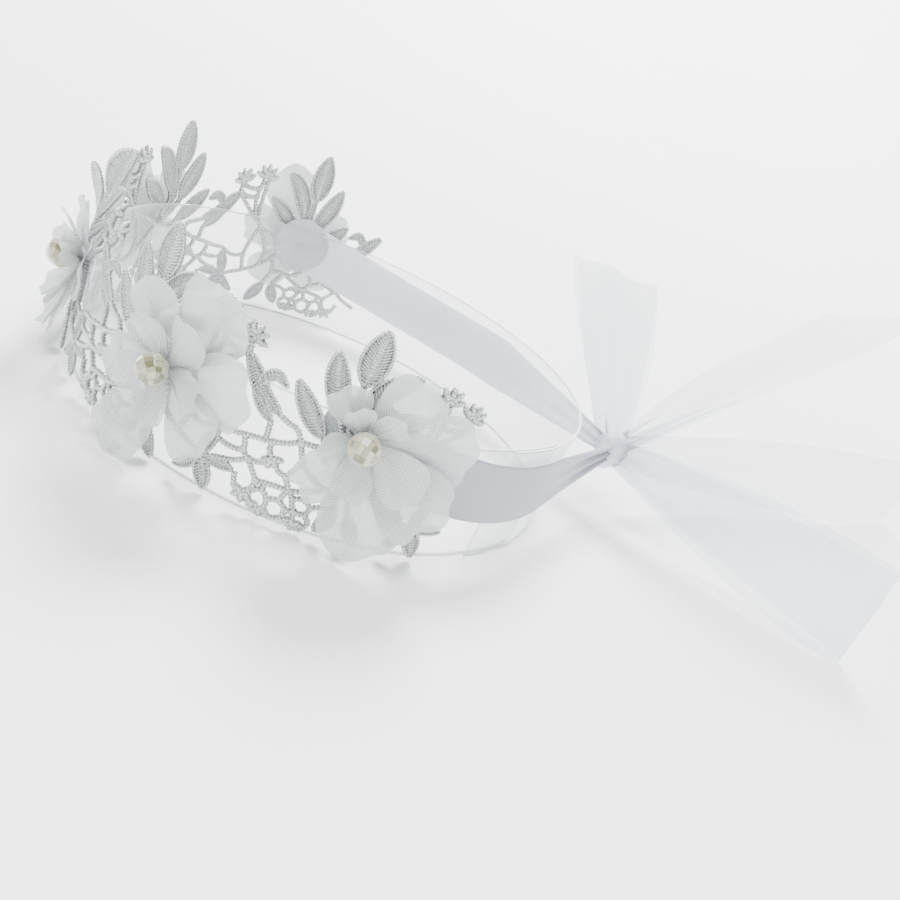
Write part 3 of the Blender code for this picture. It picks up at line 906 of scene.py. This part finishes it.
def add_clear_band():
    """One strip bent round, its inner end lapped behind the start and creased there."""
    middle = BAND_RADIUS - 0.4 * MM
    turn = 360 + math.degrees(LAP / middle)
    lap_share = (turn - 360) / turn
    work = bmesh.new()

    def place(along, across):
        beyond = (along - (1 - 2 * lap_share)) / lap_share
        inset = 1.1 * MM * min(max(beyond, 0), 1)
        crease = 0.0
        if along < lap_share and across < 0.3:
            crease = 0.35 * MM * math.sin(along / lap_share * 9) * (0.3 - across) / 0.3
        edge = 0.15 * MM * math.sin(TAU * 3 * along)
        radius = middle - inset + crease + edge * across
        return around(radius, LAP_START + along * turn, across * BAND_HEIGHT)

    cloth_grid(work, 240, 12, (TAU * middle, BAND_HEIGHT), place)
    mesh = finish_mesh(work, "clear_film", clear_film)
    # The rim faces get the edge material, painted near-white as a highlight.
    mesh.materials.append(clear_edge_highlight)
    piece = add_piece("clear_film", mesh, "band")
    thicken(piece, BAND_WALL)
    piece.modifiers["wall"].material_offset_rim = 1
    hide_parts("clear_band")


# Satin ribbons -------------------------------------------------------------------------------------

KNOT = Vector((8.0, 106.3, 23.0)) * MM
KNOT_RADIUS = 6.0 * MM
SATIN_WIDTH = 20.0 * MM
SATIN_DROOP = 4.0 * MM


def satin_path(flower, side):
    """From behind an end flower, round the band, then straight off it to the bow's knot."""
    away = Vector((KNOT.x, KNOT.y))
    leave = math.degrees(math.atan2(away.y, away.x))
    leave -= side * math.degrees(math.acos(SATIN_RADIUS / away.length))
    start = spray_angle(flower) + math.degrees(FLOWER_SHIFTS[flower] * MM / LACE_RADIUS)
    start += 0 if side > 0 else 360
    steps = 60
    points = []
    for step in range(steps + 1):
        share = step / steps
        height = FLOWER_HEIGHTS[flower] * MM * (1 - share) + KNOT.z * share
        height -= SATIN_DROOP * math.sin(math.pi * share)
        points.append(around(SATIN_RADIUS, start + (leave - start) * share, height))
    off = points[-1]
    run = KNOT - off
    stop = run.length - KNOT_RADIUS + 1 * MM
    for step in range(1, 15):
        points.append(off + run.normalized() * stop * step / 14)
    return points


def add_satin_ribbon(name, node, flower, side):
    points = satin_path(flower, side)
    last = len(points) - 1
    gathering = 14
    length = sum((after - before).length for before, after in zip(points, points[1:]))
    work = bmesh.new()

    def place(along, across):
        index = round(along * last)
        spot = points[index]
        heading = (points[min(index + 1, last)] - points[max(index - 1, 0)]).normalized()
        out = heading.cross(Vector((0, 0, 1))).normalized()
        out *= 1 if out.dot(Vector((spot.x, spot.y, 0))) > 0 else -1
        tuck = max(0, index - (last - gathering)) / gathering
        width = SATIN_WIDTH * (1 - 0.68 * tuck)
        share = across - 0.5
        pleat = 1.6 * MM * tuck * math.sin(TAU * 2.5 * across)
        belly = 0.10 * MM * (1 - 4 * share**2)
        return spot + Vector((0, 0, share * width)) + out * (pleat + belly)

    cloth_grid(work, last, 14, (length, SATIN_WIDTH), place)
    # One face of the ribbon gets the satin painted in shade, the other the satin painted as lit.
    mesh = finish_mesh(work, name, satin_shaded_face if side > 0 else satin_lit_back)
    mesh.materials.append(satin_lit_back if side > 0 else satin_shaded_face)
    piece = add_piece(name, mesh, "crown")
    thicken(piece, 0.3 * MM)
    piece.modifiers["wall"].material_offset = 1
    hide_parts(node)


# Bow -----------------------------------------------------------------------------------------------

ORGANZA_WIDTH = 38.0 * MM
ORGANZA_WALL = 0.14 * MM


def bow_axes(heading, rise):
    """Out from the knot at this heading and rise, and level across that."""
    turn = math.radians(heading)
    lift = math.radians(rise)
    out = Vector((math.cos(lift) * math.cos(turn), math.cos(lift) * math.sin(turn), math.sin(lift)))
    across = Vector((-math.sin(turn), math.cos(turn), 0))
    return out, across


def gathered(along):
    """The share of its full width that the ribbon has opened to, this far from the knot."""
    return 0.26 + 0.74 * math.sin(math.pi / 2 * min(1, along)) ** 0.7


def sink(opened):
    """How far a ribbon that stands on its edge has dropped from the knot to the floor."""
    return opened * (0.5 * MM + ORGANZA_WIDTH / 2 - KNOT.z)


def pleat_wave(across, along, count, depth):
    return depth * math.sin(TAU * count * across + 1.3 * along) * (1 - along) ** 1.5


def add_loop(name, node, body, length, heading, rise, bulge, skew, upright):
    """A loop of ribbon: out from the knot, round and back, its pleats opening from the knot."""
    out, level = bow_axes(heading, rise)
    wide = Vector((0, 0, 1)) if upright else level
    swell = out.cross(wide).normalized()
    start = KNOT_RADIUS * 0.6
    work = bmesh.new()

    def place(along, across):
        half_turn = math.pi * along
        reach = start + (length - start) * math.sin(half_turn) ** 0.85
        opened = math.sin(half_turn)
        width = ORGANZA_WIDTH * gathered(opened)
        side = bulge * math.sin(2 * half_turn) + 0.4 * MM * math.cos(half_turn)
        side += pleat_wave(across, opened, 3, 2.2 * MM)
        side += 1.3 * MM * opened * math.sin(3 * across * math.pi + 5 * along)
        sideways = wide * ((across - 0.5) * width + skew * math.cos(half_turn) * opened)
        if upright:
            sideways.z += sink(opened)
        return KNOT + out * reach + swell * side + sideways

    run = 2.06 * (length - start)
    cloth_grid(work, 96, 24, (run, ORGANZA_WIDTH), place)
    piece = add_piece(name, finish_mesh(work, name, ribbon_organza), body)
    thicken(piece, ORGANZA_WALL)
    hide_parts(node)


def add_tail(name, node, body, length, heading, rise, sway, slant):
    """A single end of ribbon, with soft folds that fade along it."""
    out, level = bow_axes(heading, rise)
    start = KNOT_RADIUS * 0.6
    upright = rise == 0
    wide = Vector((0, 0, 1)) if upright else level
    swell = out.cross(wide).normalized()
    work = bmesh.new()

    def place(along, across):
        reach = start + (length - start) * along
        opened = min(1, along * 1.2)
        width = ORGANZA_WIDTH * gathered(opened)
        side = pleat_wave(across, opened, 3, 2.4 * MM)
        side += 2.2 * MM * math.sin(math.pi * opened) * math.sin(2.2 * math.pi * across + 3 * along)
        side += sway * math.sin(TAU * along) * along
        sideways = wide * (across - 0.5) * width
        if upright:
            sideways.z += sink(opened)
        cut = slant * (across - 0.5) * along**4
        return KNOT + out * (reach + cut) + swell * side + sideways

    cloth_grid(work, 90, 24, (length, ORGANZA_WIDTH), place)
    piece = add_piece(name, finish_mesh(work, name, ribbon_organza), body)
    thicken(piece, ORGANZA_WALL)
    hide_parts(node)


def add_bow_centre():
    """The ribbon drawn into a small tight knot, with folds running round it."""
    work = bmesh.new()

    def place(along, across):
        turn = TAU * along
        polar = math.pi * (0.04 + 0.92 * across)
        fold = 1 + 0.07 * math.sin(5 * polar + 1.5 * math.sin(turn)) + 0.05 * math.sin(3 * turn)
        radius = KNOT_RADIUS * 0.97 * fold
        girth = math.sin(polar)
        spot = Vector((girth * math.cos(turn), math.cos(polar), 1.25 * girth * math.sin(turn)))
        return KNOT + spot * radius

    cloth_grid(work, 48, 24, (TAU * KNOT_RADIUS, math.pi * KNOT_RADIUS), place)
    bmesh.ops.remove_doubles(work, verts=work.verts, dist=0.01 * MM)
    rims = [edge for edge in work.edges if edge.is_boundary]
    bmesh.ops.holes_fill(work, edges=rims)
    piece = add_piece("bow_centre", finish_mesh(work, "bow_centre", knot_organza), "crown")
    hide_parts("bow_knot")


def add_bow():
    add_bow_centre()
    add_loop("loop_left", "bow_loop_left", "loop_left", 86 * MM, 177, 34, 8 * MM, 12 * MM, False)
    add_loop("loop_right", "bow_loop_right", "loop_right", 106 * MM, 50, 0, 6 * MM, 0, True)
    add_tail("tail_upper", "bow_tail_upper", "tail_upper", 104 * MM, 84, 52, 0, -22 * MM)
    add_tail("tail_lower", "bow_tail_lower", "tail_lower", 235 * MM, 112, 0, -6 * MM, 5 * MM)


# Floor, light and camera ---------------------------------------------------------------------------

FLOOR_HALF = 8
FLAT_FLOOR = 1.2
SWEEP = 0.12
CAMERA_LENS = 39.48
CAMERA_PLACE = (0.3135, -0.0719, 0.1378)
CAMERA_RIGHT = (0.1769, 0.8982, 0.4024)
CAMERA_BACK = (0.8611, -0.3392, 0.3786)


def add_floor():
    """A pale floor that sweeps up far away from the crown."""
    work = bmesh.new()
    bmesh.ops.create_grid(work, x_segments=80, y_segments=80, size=FLOOR_HALF)
    for corner in work.verts:
        corner.co.z = SWEEP * max(0.0, corner.co.to_2d().length - FLAT_FLOOR) ** 2
    mesh = finish_mesh(work, "floor", pale_floor)
    floor = bpy.data.objects.new("floor", mesh)
    bpy.context.scene.collection.objects.link(floor)


def add_soft_light(name, place, target, size, power):
    data = bpy.data.lights.new(name, "AREA")
    data.shape = "DISK"
    data.size = size
    data.energy = power
    lamp = bpy.data.objects.new(name, data)
    lamp.location = place
    lamp.rotation_mode = "QUATERNION"
    lamp.rotation_quaternion = (Vector(target) - Vector(place)).to_track_quat("-Z", "Y")
    bpy.context.scene.collection.objects.link(lamp)


def add_world(strength):
    world = bpy.data.worlds.new("soft_room")
    world.use_nodes = True
    background = world.node_tree.nodes["Background"]
    background.inputs["Color"].default_value = (0.94, 0.97, 1.0, 1)
    background.inputs["Strength"].default_value = strength
    bpy.context.scene.world = world


def add_camera():
    """Looks down at the crown from its right side, with the camera tipped to one side."""
    data = bpy.data.cameras.new("camera")
    data.lens = CAMERA_LENS
    data.sensor_width = 36
    data.clip_start = 0.01
    camera = bpy.data.objects.new("camera", data)
    right = Vector(CAMERA_RIGHT)
    back = Vector(CAMERA_BACK).normalized()
    right = (right - back * right.dot(back)).normalized()
    up = back.cross(right)
    turn = Matrix((right, up, back)).transposed().to_4x4()
    camera.matrix_world = Matrix.Translation(CAMERA_PLACE) @ turn
    bpy.context.scene.collection.objects.link(camera)
    bpy.context.scene.camera = camera


lace_thread = lace_thread_material()
petal_thread = (0.80, 0.82, 0.825, 1)
# Painted shade between the petals' threads.
petal_gap_shade = (0.48, 0.51, 0.52, 1)
ribbon_thread = (0.76, 0.81, 0.90, 1)
knot_thread = (0.70, 0.73, 0.84, 1)
flower_organza = organza_material("flower_organza", petal_thread, petal_gap_shade, 0.72, 0.5, 0.62 * MM)
ribbon_organza = organza_material("ribbon_organza", ribbon_thread, ribbon_thread, 0.22, 0.5, 0.7 * MM)
knot_organza = organza_material("knot_organza", knot_thread, knot_thread, 0.75, 0.2, 0.7 * MM)
# Both are the same white satin: the right side painted in shade, the back painted as lit.
satin_shaded_face = satin_material("satin_shaded_face", (0.29, 0.29, 0.345, 1), (0.34, 0.34, 0.40, 1), 0.4)
satin_lit_back = satin_material("satin_lit_back", (0.80, 0.81, 0.88, 1), (0.86, 0.87, 0.93, 1), 0.5)
grey_felt = felt_material()
pearl_coating = pearl_material()
film_tint = (0.80, 0.84, 0.85, 1)
# Painted shade lines along the band's rims.
film_rim_shade = (0.40, 0.43, 0.44, 1)
# The film's cut edges, painted near-white and near-opaque as a highlight.
edge_highlight_tint = (0.95, 0.96, 0.96, 1)
clear_film = clear_film_material("clear_film", film_tint, film_rim_shade, 0.12, 0.6)
clear_edge_highlight = clear_film_material("clear_film_edge_highlight", edge_highlight_tint, edge_highlight_tint, 0.9, 1.0)
dark_thread = dark_thread_material()
pale_floor = floor_material()

add_camera()
add_world(0.62)
add_soft_light("window", (-3.2, 0.9, 3.4), (0, 0.05, 0), 2.0, 760)
add_soft_light("ceiling", (0.6, -0.6, 4.0), (0, 0.05, 0), 3.0, 230)
add_floor()

add_clear_band()
pattern = flat_lace()
for repeat in range(REPEATS):
    add_lace(repeat, pattern)
    add_flower(repeat)
bpy.data.meshes.remove(pattern)
add_felt_disc("felt_left", "felt_disc_left")
add_felt_disc("felt_right", "felt_disc_right")
for number in (2, 3, 4):
    add_sewn_knot(f"sewn_knot_{number}", f"thread_knot_{number}")
add_satin_ribbon("satin_left", "satin_ribbon_left", 0, -1)
add_satin_ribbon("satin_right", "satin_ribbon_right", REPEATS - 1, 1)
add_bow()
